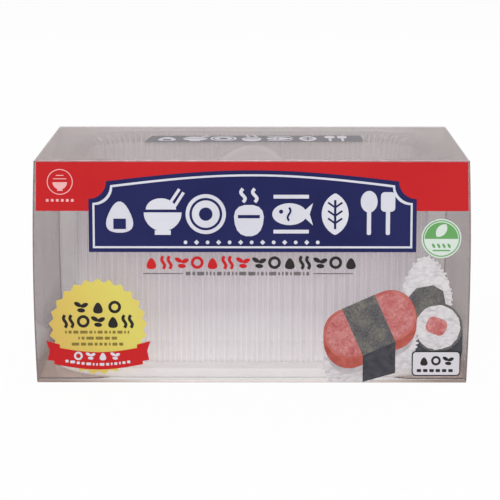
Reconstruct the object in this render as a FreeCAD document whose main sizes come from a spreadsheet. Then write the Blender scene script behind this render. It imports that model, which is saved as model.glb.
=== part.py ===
"""Sushi rice mold press in its clear folding carton.

A rice mold (base plate, fluted frame and pusher) stands inside a tuck-end carton of clear film.
Frame of reference: +X to the right, -Y to the front, +Z up, origin at the centre of the carton's base.
All lengths are millimetres.
"""

import FreeCAD, Part
import math
import os

import Sketcher

V = FreeCAD.Vector
TOLERANCE = 0.01
# How far a cutter runs past the ends it opens, and how far a flute's cutter stands out of its wall
OVERRUN = 1.0
STAND_OUT = 0.2
# Flat steps of the quarter circle along which the cavity's mouth flares
MOUTH_STEPS = 4

# name, value, meaning
DIMENSIONS = (
    ("cavity_length", 101.0, "rice cavity along X, between rib crests"),
    ("cavity_width", 55.6, "rice cavity along Y, between rib crests"),
    ("cavity_corner", 15.0, "corner radius of the rice cavity"),
    ("frame_wall", 3.0, "thickness of the frame's wall"),
    ("frame_height", 60.9, "height of the mold frame"),
    ("mouth_radius", 3.5, "rounding where the cavity flares into the top flange"),
    ("flange_overhang_end", 7.0, "how far the flanges stand out at the short ends"),
    ("flange_overhang_side", 8.7, "how far the flanges stand out at the long sides"),
    ("flange_corner", 26.5, "corner radius of both flanges"),
    ("flange_thickness", 2.3, "thickness of the frame's top flange"),
    ("flange_root", 1.5, "chamfer under the top flange"),
    ("flange_edge", 0.5, "chamfer of the top flange's rim"),
    ("flute_pitch", 3.25, "distance from one flute to the next"),
    ("flute_width", 1.9, "width of a flute at the wall's face"),
    ("inner_flute_depth", 0.65, "depth of the flutes in the cavity"),
    ("outer_flute_depth", 0.45, "depth of the flutes outside"),
    ("flute_run_out", 2.6, "length over which a flute rises out of the plastic"),
    ("base_thickness", 2.9, "thickness of the base plate's flange"),
    ("base_chamfer", 0.5, "chamfer round the base plate's lower edge"),
    ("base_edge", 0.5, "chamfer of the base plate's upper edges"),
    ("pad_height", 1.5, "height of the pad that centres the frame"),
    ("pad_clearance", 0.5, "gap between the pad and the rib crests"),
    ("plate_clearance", 0.4, "gap between the press plate and the rib crests"),
    ("plate_thickness", 2.0, "thickness of the press plate"),
    ("rim_height", 6.0, "height of the press plate's rim above its floor"),
    ("rim_wall", 1.6, "thickness of the press plate's rim"),
    ("plate_edge", 0.6, "chamfer of the press plate's lower edge and of its floor"),
    ("release_pitch", 6.0, "distance between the release grooves in the press face"),
    ("release_width", 1.4, "width of a release groove"),
    ("release_depth", 0.5, "depth of a release groove"),
    ("release_margin", 8.0, "length of plain press face beyond the grooves"),
    ("grip_radius", 13.0, "radius of the arch-shaped grip"),
    ("grip_leg", 1.0, "height of the grip's straight legs below its arch"),
    ("grip_thickness", 8.0, "thickness of the grip"),
    ("grip_edge", 1.5, "rounding of the grip's edges"),
    ("socket_wall", 1.4, "wall of the collar that holds the grip"),
    ("socket_height", 2.0, "height of the collar that holds the grip"),
    ("socket_clearance", 0.05, "gap between the grip and its collar"),
    ("film", 0.4, "thickness of the carton's film"),
    ("carton_end_clearance", 2.1, "gap between the flanges and the carton's side panels"),
    ("carton_clearance", 1.6, "gap between the flanges and the carton's front and back panels"),
    ("side_bow", 0.7, "how far the carton's side panels belly out"),
    ("flap_clearance", 0.3, "gap between the frame and the top dust flaps"),
    ("grip_clearance", 0.3, "gap between the grip and the lid"),
    ("fold_gap", 0.1, "gap between film layers that move over each other"),
    ("dust_flap_length", 24.0, "length of the dust flaps"),
    ("dust_flap_corner", 9.0, "corner radius of the dust flaps at the front"),
    ("dust_flap_inset", 2.6, "gap between a dust flap and the front panel"),
    ("dust_flap_back_gap", 0.5, "gap between a dust flap and the back panel"),
    ("dust_flap_slant", 0.52, "slope of a dust flap's back edge, which clears the turning lid"),
    ("tuck_length", 12.0, "length of the tuck flaps"),
    ("tuck_corner", 7.0, "corner radius of the tuck flaps"),
    ("tuck_end_gap", 2.5, "gap between a tuck flap's ends and the side panels"),
    ("lid_side_gap", 0.2, "how far the lid stays inside the carton's sides"),
    ("seam_width", 12.0, "width of the glue seam"),
    ("seam_taper", 3.0, "how far the glue seam's ends slant"),
)

# Sizes that follow from the driving dimensions, as expressions on the sheet
FRAME_LENGTH = "(dims.cavity_length + 2 * dims.frame_wall)"
FRAME_WIDTH = "(dims.cavity_width + 2 * dims.frame_wall)"
FRAME_CORNER = "(dims.cavity_corner + dims.frame_wall)"
FLANGE_LENGTH = f"({FRAME_LENGTH} + 2 * dims.flange_overhang_end)"
FLANGE_WIDTH = f"({FRAME_WIDTH} + 2 * dims.flange_overhang_side)"
INNER_LENGTH = f"({FLANGE_LENGTH} + 2 * dims.carton_end_clearance)"
INNER_DEPTH = f"({FLANGE_WIDTH} + 2 * dims.carton_clearance)"
CARTON_LENGTH = f"({INNER_LENGTH} + 2 * dims.film)"
CARTON_DEPTH = f"({INNER_DEPTH} + 2 * dims.film)"
BASE_LEVEL = "(2 * dims.film)"
FRAME_LEVEL = f"({BASE_LEVEL} + dims.base_thickness)"
FLAP_LEVEL = f"({FRAME_LEVEL} + dims.frame_height + dims.flap_clearance)"
LID_LEVEL = f"({FLAP_LEVEL} + dims.film + dims.fold_gap)"
CARTON_HEIGHT = f"({LID_LEVEL} + dims.film)"
GRIP_HEIGHT = "(dims.grip_radius + dims.grip_leg)"
PLATE_LEVEL = f"({LID_LEVEL} - dims.grip_clearance - {GRIP_HEIGHT} - dims.plate_thickness)"
TUCK_WIDTH = f"({INNER_LENGTH} - 2 * dims.tuck_end_gap)"
# The tuck flap's free edge swings past the front panel as the lid turns about its back edge
LID_REACH = f"({INNER_DEPTH} + dims.film)"
LID_FOLD = f"({LID_REACH} - sqrt({LID_REACH} ^ 2 - dims.tuck_length ^ 2) + dims.fold_gap)"

doc = FreeCAD.newDocument("rice_mold_press")
dims = doc.addObject("Spreadsheet::Sheet", "dims")
for row, (alias, value, meaning) in enumerate(DIMENSIONS, start=1):
    dims.set(f"A{row}", alias)
    dims.set(f"B{row}", str(value))
    dims.set(f"C{row}", meaning)
    dims.setAlias(f"B{row}", alias)
probe = doc.addObject("App::FeaturePython", "probe")
probe.addProperty("App::PropertyFloat", "Value")
doc.recompute()

nodes = []


def keep(piece, label):
    """List a finished sub-part under the name of its node."""
    piece.Label = label
    nodes.append(piece)
    return piece


def bind(piece, bindings):
    """Bind properties of a piece to expressions on the sheet."""
    for path, expression in bindings.items():
        piece.setExpression(path, expression)


# ---------------------------------------------------------------- sketches


def new_body(name, level="0"):
    body = doc.addObject("PartDesign::Body", name)
    body.setExpression("Placement.Base.z", f"{level} * 1 mm")
    return body


def new_sketch(body, name, plane="XY_Plane", offset="0"):
    """Sketch on an origin plane of its body, lifted off it by an offset."""
    sketch = body.newObject("Sketcher::SketchObject", name)
    support = next(item for item in body.Origin.OriginFeatures if item.Role == plane)
    sketch.AttachmentSupport = [(support, "")]
    sketch.MapMode = "FlatFace"
    sketch.setExpression("AttachmentOffset.Base.z", f"{offset} * 1 mm")
    return sketch


def constrain(sketch, kind, *references, size=None):
    """Add a constraint, and bind its value where it has one."""
    if size is None:
        sketch.addConstraint(Sketcher.Constraint(kind, *references))
        return
    index = sketch.addConstraint(Sketcher.Constraint(kind, *references, present(size)))
    sketch.setExpression(f"Constraints[{index}]", size)


def rounded_rectangle(sketch, length, width, corner):
    """Rectangle with four equal round corners, centred on the sketch's origin."""
    half_x, half_y, radius = present(length) / 2, present(width) / 2, present(corner)
    run_x, run_y = half_x - radius, half_y - radius
    sides = (
        (V(-run_x, -half_y), V(run_x, -half_y)),
        (V(half_x, -run_y), V(half_x, run_y)),
        (V(run_x, half_y), V(-run_x, half_y)),
        (V(-half_x, run_y), V(-half_x, -run_y)),
    )
    centres = (V(run_x, -run_y), V(run_x, run_y), V(-run_x, run_y), V(-run_x, -run_y))
    lines = [sketch.addGeometry(Part.LineSegment(*side)) for side in sides]
    arcs = []
    for index, centre in enumerate(centres):
        start = (index - 1) * math.pi / 2
        circle = Part.Circle(centre, V(0, 0, 1), radius)
        arcs.append(sketch.addGeometry(Part.ArcOfCircle(circle, start, start + math.pi / 2)))
    for index in range(4):
        following = (index + 1) % 4
        constrain(sketch, "Tangent", lines[index], 2, arcs[index], 1)
        constrain(sketch, "Tangent", arcs[index], 2, lines[following], 1)
        constrain(sketch, "Horizontal" if index % 2 == 0 else "Vertical", lines[index])
    for arc in arcs[1:]:
        constrain(sketch, "Equal", arcs[0], arc)
    constrain(sketch, "Symmetric", lines[0], 1, lines[2], 1, -1, 1)
    constrain(sketch, "DistanceX", lines[3], 1, lines[1], 1, size=length)
    constrain(sketch, "DistanceY", lines[0], 1, lines[2], 1, size=width)
    constrain(sketch, "Radius", arcs[0], size=corner)


def polygon(sketch, corners, bowed=None):
    """Closed outline through corners, each given as a pair of expressions on the sheet.

    Edges listed as bowed belly out to the side given for each, +1 for +X and -1 for -X.
    """
    bowed = bowed or {}
    points = [V(present(x), present(y)) for x, y in corners]
    edges = []
    for index, (start, end) in enumerate(zip(points, points[1:] + points[:1])):
        forward = True
        item = Part.LineSegment(start, end)
        if index in bowed:
            forward = (end.y > start.y) == (bowed[index] > 0)
            middle = (start + end) / 2 + V(bowed[index] * float(dims.side_bow), 0)
            item = Part.Arc(start, middle, end) if forward else Part.Arc(end, middle, start)
        edges.append((sketch.addGeometry(item), forward))
    for (edge, forward), (following, following_forward) in zip(edges, edges[1:] + edges[:1]):
        ends = (edge, 2 if forward else 1, following, 1 if following_forward else 2)
        constrain(sketch, "Coincident", *ends)
    for (edge, forward), (x, y) in zip(edges, corners):
        start = 1 if forward else 2
        constrain(sketch, "DistanceX", -1, 1, edge, start, size=x)
        constrain(sketch, "DistanceY", -1, 1, edge, start, size=y)
    levels = [y for _, y in corners]
    for index, (start, end) in enumerate(zip(levels, levels[1:] + levels[:1])):
        if index not in bowed:
            continue
        half_height = f"(({end} - {start}) / 2)"
        bow_radius = f"({half_height} ^ 2 + dims.side_bow ^ 2) / (2 * dims.side_bow)"
        constrain(sketch, "Radius", edges[index][0], size=bow_radius)


def present(expression):
    """Present value of an expression on the sheet, read through a spare object."""
    probe.setExpression("Value", expression)
    probe.recompute()
    return probe.Value


# ---------------------------------------------------------------- features


def pad(body, sketch, name, length, midplane=False):
    feature = body.newObject("PartDesign::Pad", name)
    feature.Profile = sketch
    feature.setExpression("Length", length)
    feature.Midplane = midplane
    doc.recompute()
    return feature


def pocket(body, sketch, name, depth, upward=False):
    """Cut a sketch downward into the body, or upward where it starts below."""
    before = body.Shape.Volume
    feature = body.newObject("PartDesign::Pocket", name)
    feature.Profile = sketch
    feature.setExpression("Length", depth)
    feature.Reversed = upward
    doc.recompute()
    if body.Shape.Volume >= before:
        raise RuntimeError(f"{name} cuts nothing")
    return feature


def dress_up(body, kind, name, size, wanted):
    """Fillet or chamfer the edges that a test picks."""
    base = body.Tip
    edges = [f"Edge{index}" for index, edge in enumerate(base.Shape.Edges, start=1) if wanted(edge)]
    if not edges:
        raise RuntimeError(f"{name} finds no edge")
    feature = body.newObject(f"PartDesign::{kind}", name)
    feature.Base = (base, edges)
    feature.setExpression("Radius" if kind == "Fillet" else "Size", size)
    doc.recompute()
    return feature


def edges_at(level, inside=None, outside=None):
    """Test for level edges: all of them, those within an outline's half sizes, or those beyond."""

    def wanted(edge):
        box = edge.BoundBox
        if abs(box.ZMin - level) > TOLERANCE or abs(box.ZMax - level) > TOLERANCE:
            return False
        reach = (max(-box.XMin, box.XMax), max(-box.YMin, box.YMax))
        if inside:
            return all(far < half + TOLERANCE for far, half in zip(reach, inside))
        if outside:
            return any(far > half + TOLERANCE for far, half in zip(reach, outside))
        return True

    return wanted


def film_panel(label, size, corner):
    """Flat film panel: a box of three sizes with its low corner at three coordinates."""
    panel = doc.addObject("Part::Box", label)
    bind(panel, dict(zip(("Length", "Width", "Height"), size)))
    bind(panel, {f"Placement.Base.{axis}": f"{place} * 1 mm" for axis, place in zip("xyz", corner)})
    return keep(panel, label)


# ---------------------------------------------------------------- rice mold


def base_plate():
    """Foot of the mold: a flange with a raised pad that centres the frame."""
    body = new_body("base_plate", BASE_LEVEL)
    outline = new_sketch(body, "base_outline")
    rounded_rectangle(outline, FLANGE_LENGTH, FLANGE_WIDTH, "dims.flange_corner")
    pad(body, outline, "base_flange", "dims.base_thickness")
    dress_up(body, "Chamfer", "base_lower_edge", "dims.base_chamfer", edges_at(0.0))
    thickness = float(dims.base_thickness)
    dress_up(body, "Chamfer", "base_upper_edge", "dims.base_edge", edges_at(thickness))
    seat = new_sketch(body, "pad_outline", offset="dims.base_thickness")
    rounded_rectangle(
        seat,
        "dims.cavity_length - 2 * dims.pad_clearance",
        "dims.cavity_width - 2 * dims.pad_clearance",
        "dims.cavity_corner - dims.pad_clearance",
    )
    pad(body, seat, "centring_pad", "dims.pad_height")
    top = thickness + float(dims.pad_height)
    dress_up(body, "Chamfer", "pad_edge", "dims.base_edge", edges_at(top))
    return keep(body, "base_plate")


def flared_mouth(body):
    """Cut the cavity's mouth wider step by step, along a quarter circle."""
    sections = []
    for step in range(MOUTH_STEPS + 1):
        turn = f"{90 * step / MOUTH_STEPS} deg"
        spread = f"dims.mouth_radius * (1 - cos({turn}))"
        level = f"(dims.frame_height - dims.mouth_radius * (1 - sin({turn})))"
        section = new_sketch(body, f"mouth_section_{step}", offset=level)
        rounded_rectangle(
            section,
            f"dims.cavity_length + 2 * {spread}",
            f"dims.cavity_width + 2 * {spread}",
            f"dims.cavity_corner + {spread}",
        )
        sections.append(section)
    mouth = body.newObject("PartDesign::SubtractiveLoft", "mouth")
    mouth.Profile = sections[0]
    mouth.Sections = sections[1:]
    mouth.Ruled = True
    doc.recompute()


def frame_blank():
    """Frame before its flutes are cut: wall, top flange and flared mouth."""
    body = new_body("frame_blank", FRAME_LEVEL)
    outer = new_sketch(body, "wall_outline")
    rounded_rectangle(outer, FRAME_LENGTH, FRAME_WIDTH, FRAME_CORNER)
    pad(body, outer, "wall", "dims.frame_height")
    flange = new_sketch(body, "flange_outline", offset="(dims.frame_height - dims.flange_thickness)")
    rounded_rectangle(flange, FLANGE_LENGTH, FLANGE_WIDTH, "dims.flange_corner")
    pad(body, flange, "top_flange", "dims.flange_thickness")
    cavity = new_sketch(body, "cavity_outline", offset="dims.frame_height")
    rounded_rectangle(cavity, "dims.cavity_length", "dims.cavity_width", "dims.cavity_corner")
    pocket(body, cavity, "cavity", "dims.frame_height")
    height = float(dims.frame_height)
    wall = float(dims.frame_wall)
    wall_half = (float(dims.cavity_length) / 2 + wall, float(dims.cavity_width) / 2 + wall)
    flared_mouth(body)
    root_level = height - float(dims.flange_thickness)
    dress_up(body, "Chamfer", "root", "dims.flange_root", edges_at(root_level, inside=wall_half))
    mouth_reach = float(dims.mouth_radius) - wall
    rim = edges_at(height, outside=[half + mouth_reach + TOLERANCE for half in wall_half])
    dress_up(body, "Chamfer", "flange_rim", "dims.flange_edge", rim)
    return body, outer, cavity


def flute_section(depth, into):
    """V-shaped section of a flute at the origin, with its point sunk into the plastic along X."""
    half = float(dims.flute_width) / 2
    reach = half * (depth + STAND_OUT) / depth
    mouth = -into * STAND_OUT
    return [V(into * depth, 0, 0), V(mouth, -reach, 0), V(mouth, reach, 0)]


def faceted_solid(sections):
    """Solid with flat faces through a row of sections, each a list of corners in step."""
    rings = [corners + corners[:1] for corners in sections]
    faces = [Part.Face(Part.makePolygon(rings[0])), Part.Face(Part.makePolygon(rings[-1]))]
    for low, high in zip(rings, rings[1:]):
        for index in range(len(low) - 1):
            side = [low[index], low[index + 1], high[index + 1], high[index], low[index]]
            faces.append(Part.Face(Part.makePolygon(side)))
    solid = Part.Solid(Part.Shell(faces))
    if solid.Volume < 0:
        solid.reverse()
    return solid


def inner_cutter():
    """Flute of the cavity: up the wall, round the mouth, then rising out of the top flange.

    The wall's face is the plane X = 0, with the plastic at +X.
    """
    depth = float(dims.inner_flute_depth)
    bend = float(dims.mouth_radius)
    pivot = V(bend, 0, float(dims.frame_height) - bend)
    section = flute_section(depth, 1)
    sections = [[corner - V(0, 0, OVERRUN) for corner in section]]
    for step in range(MOUTH_STEPS + 1):
        turn = FreeCAD.Rotation(V(0, 1, 0), 90 * step / MOUTH_STEPS)
        sections.append([pivot + turn.multVec(corner - V(bend, 0, 0)) for corner in section])
    away = V(float(dims.flute_run_out), 0, depth + STAND_OUT)
    sections.append([corner + away for corner in sections[-1]])
    return faceted_solid(sections)


def outer_cutter():
    """Flute outside the wall, which ends below the top flange. The plastic lies at -X."""
    depth = float(dims.outer_flute_depth)
    root = float(dims.frame_height) - float(dims.flange_thickness) - float(dims.flange_root)
    away = V(depth + STAND_OUT, 0, root)
    section = flute_section(depth, -1)
    sections = (
        [corner - V(0, 0, OVERRUN) for corner in section],
        [corner + V(0, 0, root - float(dims.flute_run_out)) for corner in section],
        [corner + away for corner in section],
    )
    return faceted_solid(sections)


def stations(outline, counts, shift):
    """Points along an outline with their outward directions, so many on each edge."""
    for edge, count in zip(outline.Shape.Edges, counts):
        first, last = edge.ParameterRange
        for index in range(count):
            place = first + (last - first) * (index + shift) / count
            point = edge.valueAt(place)
            outward = edge.tangentAt(place).cross(V(0, 0, 1))
            if outward.dot(V(point.x, point.y, 0)) < 0:
                outward = outward * -1
            yield V(point.x, point.y, 0), outward


def fluted_frame():
    """Frame with flutes inside, which follow the flared mouth, and flutes outside between them."""
    blank, outer, cavity = frame_blank()
    counts = [max(1, round(edge.Length / float(dims.flute_pitch))) for edge in cavity.Shape.Edges]
    cutters = []
    for outline, cutter, shift in ((cavity, inner_cutter(), 0.5), (outer, outer_cutter(), 0.0)):
        for point, outward in stations(outline, counts, shift):
            copy = cutter.copy()
            turn = FreeCAD.Rotation(outward, V(0, 0, 1).cross(outward), V(0, 0, 1), "ZXY")
            copy.Placement = FreeCAD.Placement(point, turn)
            cutters.append(copy)
    flutes = doc.addObject("Part::Feature", "flutes")
    flutes.Shape = Part.Compound(cutters)
    flutes.Placement = blank.Placement
    frame = doc.addObject("Part::Cut", "mold_frame")
    frame.Base = blank
    frame.Tool = flutes
    return keep(frame, "mold_frame")


def press_plate():
    """Tray-shaped plate: flat press face with release grooves, upright rim and a collar for the grip."""
    body = new_body("press_plate", PLATE_LEVEL)
    length = "(dims.cavity_length - 2 * dims.plate_clearance)"
    width = "(dims.cavity_width - 2 * dims.plate_clearance)"
    corner = "(dims.cavity_corner - dims.plate_clearance)"
    rim_level = "(dims.plate_thickness + dims.rim_height)"
    outline = new_sketch(body, "plate_outline")
    rounded_rectangle(outline, length, width, corner)
    pad(body, outline, "plate", rim_level)
    well = new_sketch(body, "well_outline", offset=rim_level)
    rounded_rectangle(
        well,
        f"{length} - 2 * dims.rim_wall",
        f"{width} - 2 * dims.rim_wall",
        f"{corner} - dims.rim_wall",
    )
    pocket(body, well, "well", "dims.rim_height")
    dress_up(body, "Chamfer", "plate_lower_edge", "dims.plate_edge", edges_at(0.0))
    dress_up(body, "Chamfer", "well_floor_edge", "dims.plate_edge", edges_at(float(dims.plate_thickness)))

    hole_x = "(dims.grip_radius + dims.socket_clearance)"
    hole_y = "(dims.grip_thickness / 2 + dims.socket_clearance)"
    collar = new_sketch(body, "collar_outline", offset="dims.plate_thickness")
    for grow in (" + dims.socket_wall", ""):
        x, y = f"({hole_x}{grow})", f"({hole_y}{grow})"
        polygon(collar, [(f"-{x}", f"-{y}"), (x, f"-{y}"), (x, y), (f"-{x}", y)])
    pad(body, collar, "grip_collar", "dims.socket_height")

    groove = new_sketch(body, "release_outline")
    first = f"(-{length} / 2 + dims.release_margin)"
    last = f"({first} + dims.release_width)"
    end = f"({width} / 2 + {OVERRUN})"
    polygon(groove, [(first, f"-{end}"), (last, f"-{end}"), (last, end), (first, end)])
    cut = pocket(body, groove, "release_groove", "dims.release_depth", upward=True)
    pattern = body.newObject("PartDesign::LinearPattern", "release_grooves")
    pattern.Originals = [cut]
    pattern.Direction = (groove, ["H_Axis"])
    span = f"({length} - 2 * dims.release_margin - dims.release_width)"
    bind(pattern, {"Length": span, "Occurrences": f"round({span} / dims.release_pitch) + 1"})
    body.Tip = pattern
    doc.recompute()
    return keep(body, "press_plate")


def press_grip():
    """Arch-shaped grip: a half disc on short straight legs, standing in the plate's collar."""
    body = new_body("press_grip", f"({PLATE_LEVEL} + dims.plate_thickness)")
    face = new_sketch(body, "grip_outline", plane="XZ_Plane")
    radius = float(dims.grip_radius)
    leg = float(dims.grip_leg)
    foot = face.addGeometry(Part.LineSegment(V(-radius, 0), V(radius, 0)))
    right = face.addGeometry(Part.LineSegment(V(radius, 0), V(radius, leg)))
    circle = Part.Circle(V(0, leg), V(0, 0, 1), radius)
    arch = face.addGeometry(Part.ArcOfCircle(circle, 0, math.pi))
    left = face.addGeometry(Part.LineSegment(V(-radius, leg), V(-radius, 0)))
    constrain(face, "Coincident", foot, 2, right, 1)
    constrain(face, "Tangent", right, 2, arch, 1)
    constrain(face, "Tangent", arch, 2, left, 1)
    constrain(face, "Coincident", left, 2, foot, 1)
    constrain(face, "Horizontal", foot)
    constrain(face, "Vertical", right)
    constrain(face, "Symmetric", foot, 1, foot, 2, -1, 1)
    constrain(face, "Radius", arch, size="dims.grip_radius")
    constrain(face, "DistanceY", -1, 1, arch, 3, size="dims.grip_leg")
    pad(body, face, "grip_arch", "dims.grip_thickness", midplane=True)
    side = float(dims.grip_thickness) / 2
    socket_height = float(dims.socket_height)

    def on_arch(edge):
        box = edge.BoundBox
        return box.YLength < TOLERANCE and abs(abs(box.YMin) - side) < TOLERANCE \
            and box.ZMax > socket_height and edge.Curve.TypeId == "Part::GeomCircle"

    dress_up(body, "Fillet", "grip_edges", "dims.grip_edge", on_arch)
    return keep(body, "press_grip")


# ---------------------------------------------------------------- carton


def upright_panel(label, top, bottom, outer_face, inward):
    """Front or back panel: bowed outline on an upright plane, padded inward by the film."""
    body = doc.addObject("PartDesign::Body", label)
    outline = new_sketch(body, f"{label}_outline", plane="XZ_Plane", offset=f"(-1 * ({outer_face}))")
    half = f"({CARTON_LENGTH} / 2)"
    corners = [(f"-{half}", bottom), (half, bottom), (half, top), (f"-{half}", top)]
    polygon(outline, corners, bowed={1: 1, 3: -1})
    feature = pad(body, outline, f"{label}_film", "dims.film")
    feature.Reversed = inward
    doc.recompute()
    return keep(body, label)


def side_panel(label, side):
    """Side panel: a strip of film that bellies outward, between the front and back panels."""
    body = doc.addObject("PartDesign::Body", label)
    section = new_sketch(body, f"{label}_section", plane="XZ_Plane")
    sign = "" if side > 0 else "-1 * "
    inner = f"{sign}{INNER_LENGTH} / 2"
    outer = f"{sign}{CARTON_LENGTH} / 2"
    low, high = "dims.film", f"({FLAP_LEVEL} + dims.film)"
    corners = [(outer, low), (outer, high), (inner, high), (inner, low)]
    polygon(section, corners, bowed={0: side, 2: side})
    pad(body, section, f"{label}_film", INNER_DEPTH, midplane=True)
    return keep(body, label)


def dust_flap(label, side, level):
    """Dust flap on a side panel: slanted at the back, with one round corner at the front."""
    body = new_body(label, level)
    outline = new_sketch(body, f"{label}_outline")
    root = f"({INNER_LENGTH} / 2)"
    tip = f"({root} - dims.dust_flap_length)"
    front = f"({INNER_DEPTH} / 2 - dims.dust_flap_inset)"
    back = f"({INNER_DEPTH} / 2 - dims.dust_flap_back_gap)"
    back_tip = f"({back} - dims.dust_flap_slant * dims.dust_flap_length)"
    sign = "" if side > 0 else "-1 * "
    corners = [
        (f"{sign}{root}", f"-{front}"),
        (f"{sign}{root}", back),
        (f"{sign}{tip}", back_tip),
        (f"{sign}{tip}", f"-{front}"),
    ]
    polygon(outline, corners)
    pad(body, outline, f"{label}_film", "dims.film")
    tip_x = side * present(tip)
    front_y = -present(front)

    def front_corner(edge):
        box = edge.BoundBox
        upright = box.ZLength > TOLERANCE and box.XLength < TOLERANCE and box.YLength < TOLERANCE
        return upright and abs(box.XMin - tip_x) < TOLERANCE and abs(box.YMin - front_y) < TOLERANCE

    dress_up(body, "Fillet", f"{label}_corner", "dims.dust_flap_corner", front_corner)
    return keep(body, label)


def tuck_flap(label, top, bottom, outer_face, low_corners):
    """Tuck flap behind the front panel, with its two free corners rounded."""
    body = doc.addObject("PartDesign::Body", label)
    outline = new_sketch(body, f"{label}_outline", plane="XZ_Plane", offset=f"(-1 * ({outer_face}))")
    half = f"({TUCK_WIDTH} / 2)"
    polygon(outline, [(f"-{half}", bottom), (half, bottom), (half, top), (f"-{half}", top)])
    feature = pad(body, outline, f"{label}_film", "dims.film")
    feature.Reversed = True
    doc.recompute()
    level = present(bottom if low_corners else top)

    def free_corner(edge):
        box = edge.BoundBox
        across = box.YLength > TOLERANCE and box.XLength < TOLERANCE and box.ZLength < TOLERANCE
        return across and abs(box.ZMin - level) < TOLERANCE

    dress_up(body, "Fillet", f"{label}_corners", "dims.tuck_corner", free_corner)
    return keep(body, label)


def glue_seam():
    """Strip glued inside the back panel, folded from the left side panel."""
    body = doc.addObject("PartDesign::Body", "glue_seam")
    face = f"({INNER_DEPTH} / 2)"
    outline = new_sketch(body, "seam_outline", plane="XZ_Plane", offset=f"(-1 * {face})")
    root = f"({INNER_LENGTH} / 2)"
    tip = f"({root} - dims.seam_width)"
    low = "(2 * dims.film + dims.fold_gap)"
    high = f"({FLAP_LEVEL} - dims.fold_gap)"
    polygon(
        outline,
        [
            (f"-1 * {root}", low),
            (f"-1 * {tip}", f"({low} + dims.seam_taper)"),
            (f"-1 * {tip}", f"({high} - dims.seam_taper)"),
            (f"-1 * {root}", high),
        ],
    )
    pad(body, outline, "seam_film", "dims.film")
    return keep(body, "glue_seam")


def carton():
    """All panels and flaps of the folded carton."""
    inner_x = f"({INNER_LENGTH} / 2)"
    inner_y = f"({INNER_DEPTH} / 2)"
    outer_y = f"({CARTON_DEPTH} / 2)"
    upright_panel("front_panel", CARTON_HEIGHT, "0", f"(-1 * {outer_y})", True)
    upright_panel("back_panel", LID_LEVEL, "dims.film", outer_y, False)
    side_panel("left_side_panel", -1)
    side_panel("right_side_panel", 1)
    glue_seam()
    film_panel(
        "bottom_panel",
        (CARTON_LENGTH, f"({INNER_DEPTH} + dims.film)", "dims.film"),
        (f"(-{CARTON_LENGTH} / 2)", f"(-{inner_y})", "0"),
    )
    tuck_flap("bottom_tuck_flap", "(dims.film + dims.tuck_length)", "dims.film", f"(-1 * {inner_y})", False)
    dust_flap("bottom_dust_flap_left", -1, "dims.film")
    dust_flap("bottom_dust_flap_right", 1, "dims.film")
    dust_flap("top_dust_flap_left", -1, FLAP_LEVEL)
    dust_flap("top_dust_flap_right", 1, FLAP_LEVEL)
    lid_length = f"({CARTON_LENGTH} - 2 * dims.lid_side_gap)"
    lid_depth = f"({LID_REACH} - dims.fold_gap)"
    film_panel(
        "lid_panel",
        (lid_length, lid_depth, "dims.film"),
        (f"(-{lid_length} / 2)", f"(-{inner_y} + dims.fold_gap)", LID_LEVEL),
    )
    tuck_face = f"(-1 * {inner_y} + {LID_FOLD})"
    tuck_flap("lid_tuck_flap", LID_LEVEL, f"({LID_LEVEL} - dims.tuck_length)", tuck_face, True)


def check_and_export():
    """Stop on any failed object, then write one file for each node."""
    doc.recompute()
    for item in doc.Objects:
        if "Invalid" in item.State or "Error" in item.State:
            raise RuntimeError(f"{item.Label} failed: {item.State}")
    os.makedirs("parts", exist_ok=True)
    for node in nodes:
        shape = node.Shape
        if shape.isNull() or not shape.isValid() or len(shape.Solids) != 1:
            raise RuntimeError(f"{node.Label} is not one valid solid")
        shape.exportStep(f"parts/{node.Label}.step")
        box = shape.BoundBox
        spans = "".join(
            f"  {axis} {getattr(box, axis + 'Min'):.2f} {getattr(box, axis + 'Max'):.2f}" for axis in "XYZ"
        )
        print(f"{node.Label:24s} {shape.Volume:10.1f} mm3{spans}")


base_plate()
press_plate()
press_grip()
carton()
fluted_frame()
check_and_export()
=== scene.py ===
import math
import random

import bmesh
import bpy
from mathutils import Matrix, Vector
from mathutils.geometry import delaunay_2d_cdt


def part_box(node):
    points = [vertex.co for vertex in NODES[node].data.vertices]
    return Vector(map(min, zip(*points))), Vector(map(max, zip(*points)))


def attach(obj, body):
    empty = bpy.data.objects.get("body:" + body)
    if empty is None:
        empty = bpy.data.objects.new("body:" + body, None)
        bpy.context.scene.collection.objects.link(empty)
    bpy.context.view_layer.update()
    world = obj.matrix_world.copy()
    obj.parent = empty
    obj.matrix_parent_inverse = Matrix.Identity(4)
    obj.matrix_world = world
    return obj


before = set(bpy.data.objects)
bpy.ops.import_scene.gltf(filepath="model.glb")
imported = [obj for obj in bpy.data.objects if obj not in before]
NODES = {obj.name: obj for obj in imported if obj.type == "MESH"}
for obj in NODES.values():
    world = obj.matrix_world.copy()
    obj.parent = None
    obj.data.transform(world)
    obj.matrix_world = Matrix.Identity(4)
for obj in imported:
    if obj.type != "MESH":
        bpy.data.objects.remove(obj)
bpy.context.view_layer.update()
MM = 0.001
random.seed(7)


def box_mm(node):
    """A CAD node's lowest and highest corners in mm, to the thousandth."""
    return [[round(value / MM, 3) for value in corner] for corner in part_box(node)]


# The carton in mm: half width, half depth, height, and how far a side panel bellies out
_, (HALF_X, HALF_Y, _) = box_mm("bottom_panel")
_, (_, _, TOP) = box_mm("lid_panel")
BOW = 0.7


def srgb(*levels):
    """Scene-linear colour of an 8-bit sRGB one."""
    linear = []
    for level in levels:
        share = level / 255
        linear.append(share / 12.92 if share < 0.04045 else ((share + 0.055) / 1.055) ** 2.4)
    return (*linear, 1.0)


# ---------------------------------------------------------------- camera

# Found from the carton's corners in the photo: metres, degrees and mm
CAMERA_PLACE = (0.00190, -0.6676, 0.14961)
CAMERA_TILT = 80.028
CAMERA_TURN = 0.2178
CAMERA_LENS = 157.46
CAMERA_SENSOR = 36

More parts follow.
